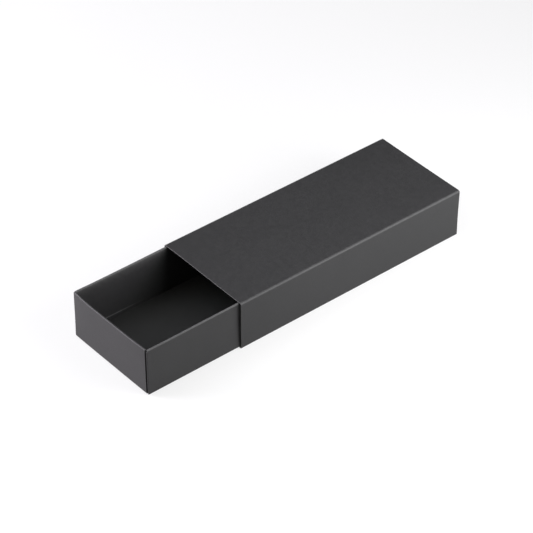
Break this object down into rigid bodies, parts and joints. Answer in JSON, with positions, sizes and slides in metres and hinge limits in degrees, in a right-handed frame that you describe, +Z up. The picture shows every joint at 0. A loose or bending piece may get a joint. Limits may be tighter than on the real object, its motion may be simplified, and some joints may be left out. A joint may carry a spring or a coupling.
{
  "type": "sliding drawer gift box",
  "caption": "Slim gift box of matt black card: a tray with rolled double walls slides like a drawer in an open-ended glued sleeve.",
  "frame": {"origin": "centre of the sleeve's underside, in the plane that the box rests on", "axes": "+X across the width, away from the panel that covers the glued seam; +Y along the length, away from the end that the tray is drawn out of; +Z up"},
  "size_m": [0.067, 0.2238, 0.032],
  "materials": {
    "sleeve_card": "matte",
    "tray_card": "matte",
    "adhesive": "satin"
  },
  "bodies": {
    "sleeve": {"sleeve_bottom_panel": "sleeve_card", "sleeve_left_panel": "sleeve_card", "sleeve_top_panel": "sleeve_card", "sleeve_right_panel": "sleeve_card", "sleeve_glue_flap": "sleeve_card", "sleeve_glue_line": "adhesive"},
    "tray": {"tray_floor": "tray_card", "tray_left_wall": "tray_card", "tray_right_wall": "tray_card", "tray_front_wall": "tray_card", "tray_back_wall": "tray_card", "tray_left_liner": "tray_card", "tray_right_liner": "tray_card", "tray_front_liner": "tray_card", "tray_back_liner": "tray_card", "tray_front_left_flap": "tray_card", "tray_front_right_flap": "tray_card", "tray_back_left_flap": "tray_card", "tray_back_right_flap": "tray_card"}
  },
  "joints": [
    {"name": "tray_slide", "type": "slide", "parent": "sleeve", "child": "tray", "axis": [0, -1, 0], "range_m": [-0.2233, 0.0947]}
  ]
}
